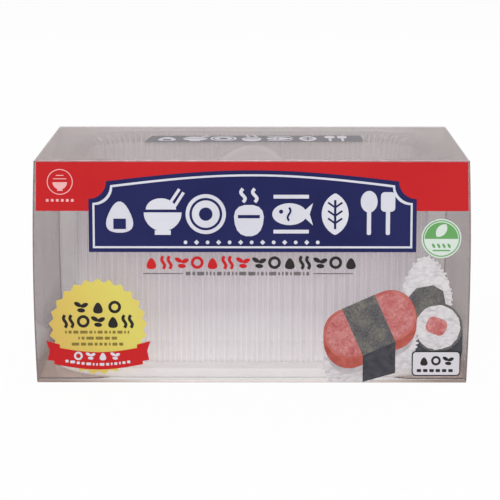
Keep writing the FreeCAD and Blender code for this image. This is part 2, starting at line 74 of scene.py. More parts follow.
camera_data = bpy.data.cameras.new("camera")
camera_data.sensor_width = CAMERA_SENSOR
camera_data.lens = CAMERA_LENS
camera = bpy.data.objects.new("camera", camera_data)
camera.location = CAMERA_PLACE
camera.rotation_euler = (math.radians(CAMERA_TILT), 0, math.radians(CAMERA_TURN))
bpy.context.scene.collection.objects.link(camera)
bpy.context.scene.camera = camera


# ---------------------------------------------------------------- materials

NOISE_SPAN = (0.3, 0.7)  # where most values of a noise texture lie
SCRATCH_SPAN = (0.62, 0.80)  # only the peaks of the scratch texture show
EDGE_ON = 0.95  # facing value at which the film has its full density
FILM_SHADOW = 0.15  # share of its density that the film has for shadows and diffuse light
PLASTIC_SHADOW = 0.2
PLASTIC_IOR = 1.5
SLIGHT_GLOSS = 0.15


class Nodes:
    """Short way to write a material's nodes."""

    def __init__(self, name):
        self.material = bpy.data.materials.new(name)
        self.material.use_nodes = True
        self.tree = self.material.node_tree
        self.shader = self.tree.nodes["Principled BSDF"]
        self.coordinates = self.add("ShaderNodeTexCoord").outputs["Object"]

    def add(self, kind, **inputs):
        node = self.tree.nodes.new(kind)
        for key, value in inputs.items():
            self.put(node, key.replace("_", " "), value)
        return node

    def put(self, node, key, value):
        socket = node.inputs[key]
        if isinstance(value, bpy.types.NodeSocket):
            self.tree.links.new(value, socket)
        else:
            socket.default_value = value

    def place(self, axis):
        """Distance along an axis of the shared frame, in metres."""
        return self.add("ShaderNodeSeparateXYZ", Vector=self.coordinates).outputs[axis]

    def facing(self, blend):
        """0 where the surface faces the viewer, 1 where it is seen edge on."""
        return self.add("ShaderNodeLayerWeight", Blend=blend).outputs["Facing"]

    def noise(self, scale, detail, stretch=(1, 1, 1), roughness=0.5):
        mapping = self.add("ShaderNodeMapping", Vector=self.coordinates, Scale=stretch)
        texture = self.add(
            "ShaderNodeTexNoise", Vector=mapping.outputs[0], Scale=scale, Detail=detail, Roughness=roughness
        )
        return texture.outputs["Fac"]

    def range(self, value, low, high, start=0.0, end=1.0):
        """Value from start to end, mapped to low to high and kept between them."""
        node = self.add("ShaderNodeMapRange", Value=value)
        node.inputs["From Min"].default_value = start
        node.inputs["From Max"].default_value = end
        node.inputs["To Min"].default_value = low
        node.inputs["To Max"].default_value = high
        return node.outputs[0]

    def math(self, operation, *values):
        node = self.tree.nodes.new("ShaderNodeMath")
        node.operation = operation
        for index, value in enumerate(values):
            self.put(node, index, value)
        return node.outputs[0]

    def blend(self, first, second, share):
        """Weighted mean of two values, in which the first has the share given."""
        return self.math("ADD", self.math("MULTIPLY", first, share), self.math("MULTIPLY", second, 1 - share))

    def ramp(self, value, *stops):
        node = self.add("ShaderNodeValToRGB", Fac=value)
        elements = node.color_ramp.elements
        while len(elements) < len(stops):
            elements.new(0.5)
        for element, (place, colour) in zip(elements, stops):
            element.position = place
            element.color = colour
        return node.outputs["Color"]

    def colour(self, value):
        self.put(self.shader, "Base Color", value)

    def roughness(self, value):
        self.put(self.shader, "Roughness", value)

    def gloss(self, level):
        self.shader.inputs["Specular IOR Level"].default_value = level

    def let_light_through(self, alpha, share):
        """Set the alpha of see-through plastic, whose shadow is lighter than its look."""
        rays = self.add("ShaderNodeLightPath").outputs
        lighting = self.math("MAXIMUM", rays["Is Shadow Ray"], rays["Is Diffuse Ray"])
        self.put(self.shader, "Alpha", self.math("MULTIPLY", alpha, self.range(lighting, 1.0, share)))

    def bump(self, height, strength, distance):
        node = self.add("ShaderNodeBump", Height=height, Strength=strength, Distance=distance)
        self.put(self.shader, "Normal", node.outputs[0])


def film_material(name, clear, dense, dark, light, draw=(1, 1, 0.04), gloss=0.5, deepen=None):
    """Clear film of the carton, with haze, fine scratches and a glossy face. Its grey-brown tint is
    painted: it stands in for the grey surroundings that the film reflects and the shade seen through it.

    clear and dense are its density face on and edge on. draw is how the scratches are drawn out.
    deepen gives an axis, two distances along it in mm, and the colour and the extra density that
    the film reaches between them.
    """
    m = Nodes(name)
    haze = m.noise(scale=38, detail=4)
    scratches = m.noise(scale=900, detail=2, stretch=draw, roughness=0.6)
    grazing = m.math("POWER", m.range(m.facing(blend=0.35), 0.0, 1.0, end=EDGE_ON), 2.0)
    alpha = m.math("ADD", m.range(grazing, clear, dense), m.range(haze, -0.02, 0.02, *NOISE_SPAN))
    alpha = m.math("ADD", alpha, m.range(scratches, 0.0, 0.02, *SCRATCH_SPAN))
    tint = m.ramp(haze, (0.3, dark), (0.7, light))
    if deepen:
        axis, start, end, deep, extra = deepen
        depth = m.range(m.math("ABSOLUTE", m.place(axis)), 0.0, 1.0, start * MM, end * MM)
        alpha = m.math("ADD", alpha, m.math("MULTIPLY", depth, extra))
        tint = m.ramp(m.math("SUBTRACT", haze, depth), (0.0, deep), (0.3, dark), (0.7, light))
    m.let_light_through(alpha, FILM_SHADOW)
    m.colour(tint)
    m.roughness(m.range(haze, 0.10, 0.17, *NOISE_SPAN))
    m.shader.inputs["IOR"].default_value = PLASTIC_IOR
    m.gloss(gloss)
    m.bump(m.noise(scale=16, detail=1), strength=0.35, distance=0.6 * MM)
    return m.material


def crease_material(name, dark, light):
    """Folded film: denser than the flat film; the light ones carry a painted highlight along the bend, the
    dark ones are shaded where it bends.
    """
    m = Nodes(name)
    wear = m.noise(scale=260, detail=3)
    m.colour(m.ramp(wear, (0.35, dark), (0.65, light)))
    m.put(m.shader, "Alpha", m.range(wear, 0.55, 0.70, *NOISE_SPAN))
    m.roughness(m.range(wear, 0.18, 0.32))
    return m.material


def base_fold_material():
    """Fold along the foot of a wall: pale below the mold, brown towards both ends."""
    m = Nodes("fold_base")
    wear = m.noise(scale=260, detail=3)
    across = m.range(m.math("ABSOLUTE", m.place("X")), 0.0, 1.0, end=HALF_X * MM)
    end = m.math("ADD", across, m.range(wear, -0.04, 0.04))
    stops = ((0.40, srgb(238, 227, 224)), (0.66, srgb(214, 196, 188)), (0.88, srgb(172, 150, 142)))
    m.colour(m.ramp(end, *stops))
    m.put(m.shader, "Alpha", m.range(wear, 0.84, 0.92, *NOISE_SPAN))
    m.roughness(m.range(wear, 0.18, 0.32))
    return m.material


# The fluted wall's outline in mm: straight half-lengths, corner radius, flutes on each stretch,
# and how far outside the corner radius their painted highlight lines end
WALL_STRAIGHT = {"X": 35.5, "Y": 12.8}
WALL_CORNER = 15.0
FLUTES = {"X": 11, "Y": 4}
CORNER_FLUTES = 7
FLUTE_REACH = 6.1
# Painted highlights: light lines in each flute, and the extra density they give the plastic
HIGHLIGHTS_PER_FLUTE = 2
HIGHLIGHT_DENSITY = 0.13
# Heights in mm over which a painted light from below fades, from white to milky, and over which painted shade
# darkens the mold towards its top
FOOT_SPAN = (4, 20)
UPPER_SPAN = (26, 40)
UPWARD_SHADE = 0.65  # how much darker the faces that look up are, between the lines


def painted_flute_highlights(m):
    """Painted highlights: fine light lines, 0 to 1, one in each flute and one on each land, also round the
    corners.
    """
    beyond = {}
    flutes = 0.0
    for axis, straight in WALL_STRAIGHT.items():
        off_centre = m.math("ABSOLUTE", m.place(axis))
        beyond[axis] = m.math("MAXIMUM", m.math("SUBTRACT", off_centre, straight * MM), 0.0)
        along = m.math("MINIMUM", off_centre, straight * MM)
        flutes = m.math("ADD", m.math("MULTIPLY", along, FLUTES[axis] / (straight * MM)), flutes)
    turn = m.math("ARCTAN2", beyond["Y"], beyond["X"])
    flutes = m.math("ADD", flutes, m.math("MULTIPLY", turn, CORNER_FLUTES / (math.pi / 2)))
    wave_height = m.math("COSINE", m.math("MULTIPLY", flutes, HIGHLIGHTS_PER_FLUTE * 2 * math.pi))
    crest = m.math("POWER", m.range(wave_height, 0.0, 1.0, -1.0, 1.0), 3.0)
    squares = [m.math("MULTIPLY", reach, reach) for reach in beyond.values()]
    outward = m.math("SUBTRACT", m.math("SQRT", m.math("ADD", *squares)), WALL_CORNER * MM)
    fading = m.range(outward, 1.0, 0.0, (FLUTE_REACH - 1) * MM, FLUTE_REACH * MM)
    return m.math("MULTIPLY", crest, fading)


def plastic_material(name, dark, light, dense, clear):
    """Nodes of milky polypropylene: translucent, softly glossy, with faint flow marks."""
    m = Nodes(name)
    flow = m.noise(scale=26, detail=3, stretch=(1, 1, 0.3))
    grain = m.noise(scale=1500, detail=2)
    density = m.range(m.facing(blend=0.45), clear, dense)
    alpha = m.math("ADD", density, m.range(flow, -0.03, 0.03, *NOISE_SPAN))
    m.let_light_through(alpha, PLASTIC_SHADOW)
    m.colour(m.ramp(flow, (0.3, dark), (0.7, light)))
    m.roughness(m.range(grain, 0.14, 0.24, *NOISE_SPAN))
    m.bump(grain, strength=0.15, distance=0.03 * MM)
    return m


def fluted_material():
    """Milky plastic of the fluted frame, with painted light: highlight lines along the flutes, a foot
    whitened for light from below, and painted shade at its top and where it is seen edge on.
    """
    m = plastic_material("milky_mold", srgb(247, 241, 243), srgb(253, 249, 251), dense=0.78, clear=0.52)
    # lines is a painted highlight along the flutes: it makes the plastic denser, and lighter on faces that
    # look up
    lines = painted_flute_highlights(m)
    plain_alpha = m.shader.inputs["Alpha"].links[0].from_socket
    m.put(m.shader, "Alpha", m.math("ADD", plain_alpha, m.math("MULTIPLY", lines, HIGHLIGHT_DENSITY)))
    height = m.place("Z")
    normal = m.add("ShaderNodeTexCoord").outputs["Normal"]
    # Painted shade: faces that look up are darker between the highlight lines, as in the shade of the lid
    upward = m.range(m.add("ShaderNodeSeparateXYZ", Vector=normal).outputs["Z"], 0.0, 1.0, 0.2, 0.6)
    painted_top_shade = m.math("MULTIPLY", upward, m.math("SUBTRACT", 1.0, lines))
    # Painted light: the mold is whiter towards its foot, for light from below
    foot = m.range(height, 0.5, 0.0, *(level * MM for level in FOOT_SPAN))
    tone = m.math("ADD", foot, m.range(m.noise(scale=26, detail=3), 0.4, 0.5, *NOISE_SPAN))
    tone = m.math("SUBTRACT", tone, m.math("MULTIPLY", painted_top_shade, UPWARD_SHADE))
    # Darker where the wall is seen edge on, at its corners: painted shade, together with the greater depth of
    # plastic seen there
    tone = m.math("SUBTRACT", tone, m.range(m.facing(blend=0.5), 0.0, 0.30, 0.55, 0.95))
    # Painted shade: darker towards the top of the wall
    tone = m.math("SUBTRACT", tone, m.range(height, 0.0, 0.14, *(level * MM for level in UPPER_SPAN)))
    stops = ((0.0, srgb(138, 131, 135)), (0.45, srgb(221, 216, 222)), (1.0, srgb(252, 247, 250)))
    m.colour(m.ramp(tone, *stops))
    return m.material


def ink_material(name, dark, light, scale, roughness=0.36, gloss=SLIGHT_GLOSS):
    """Printed ink on film: slightly uneven laydown, of the scale given, under a thin gloss."""
    m = Nodes(name)
    dots = m.noise(scale=2400, detail=1)
    m.colour(m.ramp(m.noise(scale=scale, detail=4), (0.32, dark), (0.68, light)))
    m.roughness(m.range(dots, roughness - 0.06, roughness + 0.08, *NOISE_SPAN))
    m.gloss(gloss)
    m.bump(dots, strength=0.08, distance=0.02 * MM)
    return m.material


def meat_material():
    """Pressed pink meat: pale fat flecks and darker grain."""
    m = Nodes("printed_meat")
    cloud = m.noise(scale=190, detail=6, roughness=0.7)
    fleck = m.noise(scale=1100, detail=3, roughness=0.6)
    m.colour(m.ramp(
        m.blend(cloud, fleck, 0.6),
        (0.33, srgb(156, 60, 58)),
        (0.44, srgb(178, 92, 91)),
        (0.54, srgb(190, 120, 118)),
        (0.68, srgb(208, 158, 154)),
    ))
    m.roughness(m.range(fleck, 0.3, 0.42))
    m.bump(fleck, strength=0.1, distance=0.03 * MM)
    return m.material


def nori_material():
    """Dark seaweed sheet with fine crossed fibres and greenish glints."""
    m = Nodes("printed_nori")
    fibres = m.noise(scale=1700, detail=4, roughness=0.75)
    patches = m.noise(scale=240, detail=3)
    m.colour(m.ramp(
        m.blend(fibres, patches, 0.6),
        (0.38, srgb(60, 58, 63)),
        (0.5, srgb(86, 84, 85)),
        (0.62, srgb(118, 114, 99)),
    ))
    m.roughness(m.range(fibres, 0.35, 0.5))
    m.bump(fibres, strength=0.12, distance=0.04 * MM)
    return m.material


def rice_material():
    """Cooked rice: pale grains with soft grey between them."""
    m = Nodes("printed_rice")
    warp = m.add("ShaderNodeTexNoise", Vector=m.coordinates, Scale=260.0, Detail=2.0)
    bend = m.add("ShaderNodeMixRGB", Fac=0.004, Color1=m.coordinates, Color2=warp.outputs["Color"])
    drawn = m.add("ShaderNodeMapping", Vector=bend.outputs[0], Scale=(1, 1, 2.1), Rotation=(0, 0.6, 0))
    gaps = m.add("ShaderNodeTexVoronoi", Vector=drawn.outputs[0], Scale=560.0).outputs["Distance"]
    cloud = m.noise(scale=300, detail=3)
    m.colour(m.ramp(
        m.blend(gaps, cloud, 0.5),
        (0.32, srgb(213, 208, 210)),
        (0.52, srgb(203, 198, 201)),
        (0.74, srgb(180, 175, 179)),
    ))
    m.roughness(m.range(cloud, 0.3, 0.45))
    m.bump(gaps, strength=0.15, distance=0.04 * MM)
    return m.material


def burst_material():
    """Yellow print that turns orange towards its lower left."""
    m = Nodes("ink_burst")
    across = m.range(m.place("X"), 0.0, 1.0, -60 * MM, -30 * MM)
    rise = m.range(m.place("Z"), 0.0, 1.0, 2 * MM, 32 * MM)
    m.colour(m.ramp(
        m.math("ADD", m.blend(across, rise, 0.7), m.range(m.noise(scale=90, detail=3), -0.06, 0.06)),
        (0.10, srgb(206, 172, 94)),
        (0.45, srgb(212, 190, 96)),
        (0.75, srgb(214, 203, 102)),
        (0.98, srgb(216, 192, 106)),
    ))
    m.roughness(m.range(m.noise(scale=2400, detail=1), 0.26, 0.4))
    m.gloss(SLIGHT_GLOSS)
    return m.material


# The films' tints are painted reflection of grey surroundings and painted shade of what lies behind them, not
# colours of the clear film
FLAP_FILM = film_material(
    "clear_film_flap", clear=0.04, dense=0.02, dark=srgb(150, 142, 142), light=srgb(166, 158, 158)
)
FRONT_FILM = film_material(
    "clear_film_front", clear=0.085, dense=0.40, dark=srgb(122, 104, 104), light=srgb(136, 118, 118)
)
SEAM_FILM = film_material(
    "clear_film_seam", clear=0.10, dense=0.45, dark=srgb(108, 85, 87), light=srgb(120, 96, 98)
)
# The lid's darker tint is painted shade of the inside seen through it
LID_FILM = film_material(
    "clear_film_lid", clear=0.09, dense=0.53, dark=srgb(118, 93, 84), light=srgb(130, 105, 96),
    draw=(0.04, 1, 1), gloss=0.15,
)
WALL_FILM = film_material(
    "clear_film_wall", clear=0.32, dense=0.60, dark=srgb(108, 88, 89), light=srgb(120, 99, 100),
    deepen=("X", 44, 54, srgb(110, 84, 84), 0.08),
)
# The side film deepens to dark brown towards its foot: painted shade
SIDE_FILM = film_material(
    "clear_film_side", clear=0.13, dense=0.81, dark=srgb(106, 75, 74), light=srgb(118, 86, 85),
    deepen=("Z", 19, 6, srgb(70, 38, 30), 0.14),
)
FLOOR_FILM = film_material(
    "clear_film_floor", clear=0.05, dense=0.18, dark=srgb(150, 132, 126), light=srgb(166, 148, 142),
    gloss=0.3, deepen=("X", 36, 60, srgb(176, 148, 134), 0.40),
)
BASE_FILM = film_material(
    "clear_film_base", clear=0.22, dense=0.96, dark=srgb(170, 140, 125), light=srgb(182, 152, 137),
    gloss=0.3,
)
# Light fold beads: painted edge highlights along the folds, pink where the fold lies over the red band
FOLD_HIGHLIGHT = crease_material("fold_edge_highlight", srgb(222, 208, 211), srgb(238, 224, 227))
ROSY_HIGHLIGHT = crease_material("fold_highlight_over_red", srgb(226, 190, 197), srgb(242, 208, 214))
UPRIGHT = crease_material("fold_upright", srgb(126, 104, 104), srgb(150, 128, 128))
BASE_FOLD = base_fold_material()
EDGE = ink_material("film_cut_edge", srgb(64, 54, 56), srgb(84, 72, 74), 200, roughness=0.2, gloss=0.4)
MOLD = fluted_material()
FOOT = plastic_material("milky_foot", srgb(250, 245, 245), srgb(254, 251, 251), 0.92, 0.74).material
PRESS = plastic_material("milky_press", srgb(212, 207, 210), srgb(224, 219, 222), 0.74, 0.50).material
RED = ink_material("ink_red", srgb(188, 30, 34), srgb(197, 35, 39), 22)
RED_FOLD = ink_material("ink_red_fold", srgb(150, 28, 34), srgb(166, 34, 40), 60)
NAVY = ink_material("ink_navy", srgb(25, 28, 77), srgb(31, 34, 85), 40)
WHITE = ink_material("ink_white", srgb(206, 206, 216), srgb(215, 215, 224), 50)
LABEL_WHITE = ink_material("ink_label", srgb(200, 197, 203), srgb(209, 206, 212), 50)
SIGN_PINK = ink_material("ink_sign", srgb(226, 168, 170), srgb(236, 184, 186), 60)
BLACK = ink_material("ink_black", srgb(30, 27, 28), srgb(46, 42, 42), 90)
GREY = ink_material("ink_grey", srgb(98, 92, 94), srgb(116, 110, 112), 120)
OCHRE = ink_material("ink_ochre", srgb(120, 104, 52), srgb(140, 122, 62), 120)
GREEN = ink_material("ink_green", srgb(92, 150, 86), srgb(102, 160, 96), 60)
GREEN_PALE = ink_material("ink_green_pale", srgb(199, 210, 202), srgb(209, 219, 211), 60)
YELLOW = burst_material()
MEAT = meat_material()
MEAT_RIM = ink_material("printed_meat_rim", srgb(176, 92, 85), srgb(194, 118, 111), 300)
MEAT_SIDE = ink_material("printed_meat_side", srgb(158, 70, 62), srgb(186, 98, 88), 420)
NORI = nori_material()
NORI_SIDE = ink_material("printed_nori_side", srgb(54, 54, 60), srgb(76, 76, 83), 500)
RICE = rice_material()
RICE_SHADE = ink_material("printed_rice_shade", srgb(168, 162, 166), srgb(186, 180, 184), 500)
LID_GROUND = ink_material("lid_ink_ground", srgb(44, 35, 50), srgb(54, 45, 60), 60)
LID_MARK = ink_material("lid_ink_marks", srgb(186, 181, 190), srgb(200, 195, 203), 60)


# ---------------------------------------------------------------- flat shapes, in mm


def move(points, x, y, turn=0.0, scale=1.0):
    c = math.cos(math.radians(turn))
    s = math.sin(math.radians(turn))
    return [(x + scale * (px * c - py * s), y + scale * (px * s + py * c)) for px, py in points]


def area(points):
    """Signed area inside a closed outline."""
    return sum(ax * by - bx * ay for (ax, ay), (bx, by) in zip(points, points[1:] + points[:1])) / 2


def disc(x, y, radius, count=48, squash=1.0, turn=0.0):
    points = []
    for index in range(count):
        angle = 2 * math.pi * index / count
        points.append((radius * math.cos(angle), radius * squash * math.sin(angle)))
    return move(points, x, y, turn)


def arc(x, y, radius, start, end, count, squash=1.0):
    points = []
    for step in range(count + 1):
        angle = math.radians(start + (end - start) * step / count)
        points.append((x + radius * math.cos(angle), y + radius * squash * math.sin(angle)))
    return points


def half_disc(x, y, radius, start, squash=1.0):
    return arc(x, y, radius, start, start + 180, 20, squash)


def box(x0, y0, x1, y1, radius=0.0, count=6):
    """Rectangle between two corners, with round corners if wanted."""
    if not radius:
        return [(x0, y0), (x1, y0), (x1, y1), (x0, y1)]
    points = arc(x1 - radius, y0 + radius, radius, -90, 0, count)
    points += arc(x1 - radius, y1 - radius, radius, 0, 90, count)
    points += arc(x0 + radius, y1 - radius, radius, 90, 180, count)
    points += arc(x0 + radius, y0 + radius, radius, 180, 270, count)
    return points


def ring_shapes(x, y, outer, inner, count=48):
    """Ring as short closed segments."""
    shapes = []
    for index in range(count):
        a = 2 * math.pi * index / count
        b = 2 * math.pi * (index + 1) / count
        shapes.append([
            (x + inner * math.cos(a), y + inner * math.sin(a)),
            (x + outer * math.cos(a), y + outer * math.sin(a)),
            (x + outer * math.cos(b), y + outer * math.sin(b)),
            (x + inner * math.cos(b), y + inner * math.sin(b)),
        ])
    return shapes


def line(ax, ay, bx, by, width):
    """Straight stroke with square ends."""
    length = math.hypot(bx - ax, by - ay)
    nx = -(by - ay) / length * width / 2
    ny = (bx - ax) / length * width / 2
    return [(ax + nx, ay + ny), (ax - nx, ay - ny), (bx - nx, by - ny), (bx + nx, by + ny)]


def ribbon(points, width):
    """Outline of a stroke along a line of points, with mitred corners."""
    sharpest = 0.4  # keeps a sharp corner's mitre short
    steps = [Vector((bx - ax, by - ay)).normalized() for (ax, ay), (bx, by) in zip(points, points[1:])]
    left = []
    right = []
    for index, (x, y) in enumerate(points):
        directions = steps[max(index - 1, 0):index + 1]
        tangent = sum(directions, Vector((0, 0))).normalized()
        normal = Vector((-tangent.y, tangent.x))
        stretch = 1.0
        if len(directions) == 2:
            stretch = 1 / max(sharpest, normal.dot(Vector((-directions[0].y, directions[0].x))))
        reach = normal * width / 2 * stretch
        left.append((x + reach.x, y + reach.y))
        right.append((x - reach.x, y - reach.y))
    return left + right[::-1]


def wave(x, y, length, height, width):
    """Wavy stroke that rises from a point, such as steam."""
    steps = 12
    points = []
    for step in range(steps + 1):
        part = step / steps
        points.append((x + height * math.sin(2 * math.pi * part), y - length * part))
    return ribbon(points, width)


def smooth(points, rounds):
    """Closed outline with its corners cut, again and again."""
    for _ in range(rounds):
        cut = []
        for (ax, ay), (bx, by) in zip(points, points[1:] + points[:1]):
            cut.append((0.75 * ax + 0.25 * bx, 0.75 * ay + 0.25 * by))
            cut.append((0.25 * ax + 0.75 * bx, 0.25 * ay + 0.75 * by))
        points = cut
    return points


def dashes(left, right, spare, middle, thickness, runs, gap, drop=None):
    """Row of dashes of random length, in place of small print.

    None starts less than spare before the right end. drop gives how far the row hangs down at x.
    """
    row = []
    x = left
    while x < right - spare:
        run = random.choice(runs)
        level = middle + (drop(x) if drop else 0)
        row.append(box(x, level - thickness / 2, min(x + run, right), level + thickness / 2, 0.2, 2))
        x += run + gap
    return row


# ---------------------------------------------------------------- pieces

LAYER = 0.03  # height of one layer of print above the one before, in mm
INK_DEPTH = 0.8  # how far a print reaches down from its face, in layers
PRINT_FOOT = TOP - 0.3  # lowest line that the front print may reach
SPECK = 0.02  # shapes with less area than this, in square mm, are left out
JOIN = 1e-4  # outline points nearer than this, in mm, become one
FILLED = 1  # the triangulation keeps only what lies inside the outlines
TUBE_SIDES = 8
NEARLY_X = 0.9  # a bead that points less along x than this has its ring's first point square to x


def front_point(u, h, layer):
    """Place on the front panel: u to the right of its middle, h below its top edge."""
    return Vector((u, -HALF_Y - LAYER * layer, TOP - h)) * MM


def lid_point(x, y, layer):
    return Vector((x, y, TOP + LAYER * layer)) * MM


def on_panel(shapes):
    """Shapes cut off at the foot of the front panel."""
    kept = [[(x, min(y, PRINT_FOOT)) for x, y in shape] for shape in shapes]
    return [shape for shape in kept if abs(area(shape)) > SPECK]


def make_piece(name, bm, material, body):
    """Object of the carton's film or print, which rides on a body."""
    mesh = bpy.data.meshes.new(name)
    bm.to_mesh(mesh)
    bm.free()
    piece = bpy.data.objects.new(name, mesh)
    bpy.context.scene.collection.objects.link(piece)
    mesh.materials.append(material)
    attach(piece, body)
    return piece


def ink(name, shapes, material, layer, place=front_point, body="root"):
    """Print of one colour: the union of flat shapes, as one thin closed solid in its layer."""
    corners = []
    outlines = []
    for shape in shapes:
        ordered = shape if area(shape) > 0 else shape[::-1]
        outlines.append(list(range(len(corners), len(corners) + len(ordered))))
        corners += [Vector(corner) for corner in ordered]
    spots, _, triangles, _, _, sources = delaunay_2d_cdt(corners, [], outlines, FILLED, JOIN, True)
    bm = bmesh.new()
    low = [bm.verts.new(place(x, y, layer - INK_DEPTH)) for x, y in spots]
    high = [bm.verts.new(place(x, y, layer)) for x, y in spots]
    rims = {}
    for triangle, source in zip(triangles, sources):
        if not source:
            continue
        bm.faces.new([low[index] for index in reversed(triangle)])
        bm.faces.new([high[index] for index in triangle])
        for first, second in zip(triangle, triangle[1:] + triangle[:1]):
            if rims.pop((second, first), None) is None:
                rims[(first, second)] = True
    for first, second in rims:
        bm.faces.new((low[first], low[second], high[second], high[first]))
    loose = [vert for vert in bm.verts if not vert.link_faces]
    bmesh.ops.delete(bm, geom=loose, context="VERTS")
    bmesh.ops.recalc_face_normals(bm, faces=bm.faces)
    piece = make_piece(name, bm, material, body)
    piece.visible_shadow = False


def tube(name, points, radius, material, body):
    """Thin closed bead along a line of points in mm."""
    bm = bmesh.new()
    rings = []
    for index, point in enumerate(points):
        before = points[max(index - 1, 0)]
        after = points[min(index + 1, len(points) - 1)]
        tangent = (Vector(after) - Vector(before)).normalized()
        side = tangent.orthogonal().normalized()
        if abs(tangent.x) < NEARLY_X:
            side = tangent.cross(Vector((1, 0, 0))).normalized()
        other = tangent.cross(side)
        ring = []
        for step in range(TUBE_SIDES):
            angle = 2 * math.pi * step / TUBE_SIDES
            offset = (side * math.cos(angle) + other * math.sin(angle)) * radius
            ring.append(bm.verts.new((Vector(point) + offset) * MM))
        rings.append(ring)
    for low, high in zip(rings, rings[1:]):
        for step in range(TUBE_SIDES):
            following = (step + 1) % TUBE_SIDES
            bm.faces.new((low[step], low[following], high[following], high[step]))
    bm.faces.new(rings[0][::-1])
    bm.faces.new(rings[-1])
    bmesh.ops.recalc_face_normals(bm, faces=bm.faces)
    for face in bm.faces:
        face.smooth = len(face.verts) == 4
    make_piece(name, bm, material, body)


def dress(material, *names):
    """Give CAD nodes a material."""
    for name in names:
        slots = NODES[name].material_slots
        for item in slots:
            item.material = material
        if not slots:
            NODES[name].data.materials.append(material)


dress(MOLD, "mold_frame")
dress(FOOT, "base_plate")
dress(PRESS, "press_plate", "press_grip")
dress(FRONT_FILM, "front_panel")
dress(WALL_FILM, "back_panel")
dress(SIDE_FILM, "left_side_panel", "right_side_panel")
dress(SEAM_FILM, "glue_seam")
dress(LID_FILM, "lid_panel")
dress(FLOOR_FILM, "bottom_panel")
dress(FLAP_FILM, "lid_tuck_flap", "bottom_tuck_flap", "top_dust_flap_left", "top_dust_flap_right")
dress(BASE_FILM, "bottom_dust_flap_left", "bottom_dust_flap_right")


# ---------------------------------------------------------------- folds of the carton

UPRIGHT_INSET = 0.18
UPRIGHT_RADIUS = 0.22
UPRIGHT_FOOT = 0.3
UPRIGHT_STEPS = 12
FRONT_FOLD_TOP = TOP - 0.2
BACK_FOLD_TOP = TOP - 0.9  # low enough for the open lid to pass above it
FOLD_X = HALF_X - 0.2
FOLD_Y = HALF_Y - 0.2
LID_FOLD_X = HALF_X - 0.4
LID_FRONT_Y = HALF_Y - 0.6


def upright_fold(name, side_x, side_y, top):
    """Fold between two walls, which follows the belly of the side panel."""
    points = []
    middle = TOP / 2
    for step in range(UPRIGHT_STEPS + 1):
        z = UPRIGHT_FOOT + (top - UPRIGHT_FOOT) * step / UPRIGHT_STEPS
        belly = BOW * (1 - ((z - middle) / middle) ** 2)
        points.append((side_x * (HALF_X - UPRIGHT_INSET + belly), side_y * (HALF_Y - UPRIGHT_INSET), z))
    tube(name, points, UPRIGHT_RADIUS, UPRIGHT, "root")


def level_fold(name, half_length, y, z, radius, material, body):
    """Straight fold along the front or the back."""
    tube(name, [(x, y, z) for x in (-half_length, 0, half_length)], radius, material, body)


upright_fold("fold_front_left", -1, -1, FRONT_FOLD_TOP)
upright_fold("fold_front_right", 1, -1, FRONT_FOLD_TOP)
upright_fold("fold_back_left", -1, 1, BACK_FOLD_TOP)
upright_fold("fold_back_right", 1, 1, BACK_FOLD_TOP)
level_fold("fold_base_front", FOLD_X, -FOLD_Y, z=0.4, radius=0.4, material=BASE_FOLD, body="root")
level_fold("fold_base_back", FOLD_X, FOLD_Y, z=0.2, radius=0.2, material=BASE_FOLD, body="root")
# The front rim and the lid folds carry painted edge highlights
level_fold("rim_front", FOLD_X, -FOLD_Y, z=TOP - 0.14, radius=0.16, material=ROSY_HIGHLIGHT, body="root")
level_fold("fold_lid_front", LID_FOLD_X, -LID_FRONT_Y, z=TOP - 0.22, radius=0.2, material=ROSY_HIGHLIGHT, body="lid")
level_fold("fold_lid_back", LID_FOLD_X, FOLD_Y, z=TOP - 0.2, radius=0.2, material=FOLD_HIGHLIGHT, body="lid")


# ---------------------------------------------------------------- front print: band and signboard

BAND = [(-62.3, 0.45), (62.5, 0.45), (62.9, 14.8), (-62.6, 14.8)]
ink("print_band", [BAND], RED, 1)

PLAQUE_LEFT = -47.3
PLAQUE_RIGHT = 47.8
PLAQUE_TOP = 2.9
PLAQUE_FOOT = 26.9
PLAQUE_RISE = 3.2
PLAQUE_SCOOP = 5.2
PLAQUE_STEPS = 24


def plaque(inset):
    """Signboard outline: flat foot, shallow curved top and scooped upper corners."""
    x0 = PLAQUE_LEFT + inset
    x1 = PLAQUE_RIGHT - inset
    y0 = PLAQUE_TOP + inset
    y1 = PLAQUE_FOOT - inset
    points = [(x0, y1), (x1, y1)]
    points += arc(x1, y0 + PLAQUE_RISE, PLAQUE_SCOOP, 90, 180, 8)
    for step in range(1, PLAQUE_STEPS):
        part = step / PLAQUE_STEPS
        x = (x1 - PLAQUE_SCOOP) + (x0 - x1 + 2 * PLAQUE_SCOOP) * part
        points.append((x, y0 + PLAQUE_RISE - PLAQUE_RISE * math.sin(math.pi * part)))
    points += arc(x0, y0 + PLAQUE_RISE, PLAQUE_SCOOP, 0, 90, 8)
    return points


ink("print_plaque", [plaque(inset=0)], NAVY, 2)
ink("print_keyline", [plaque(inset=1.15)], WHITE, 3)
ink("print_plaque_field", [plaque(inset=1.75)], NAVY, 4)


# Each mark is drawn about its own middle: its shapes, and the details laid over them in the
# ground's colour


def rice_ball(x, y, size):
    return smooth(move([(0, -6.4), (5.6, 5.2), (-5.6, 5.2)], x, y, 0, size), 3)


def leaf(half_gap, radius, count):
    """Two arcs that meet in a point at the top and the foot."""
    return arc(-half_gap, 0, radius, -62, 62, count) + arc(half_gap, 0, radius, 118, 242, count)


def rice_ball_mark():
    return [rice_ball(0, 0, 0.86)], [box(-1.5, 1.1, 1.5, 3.6)]


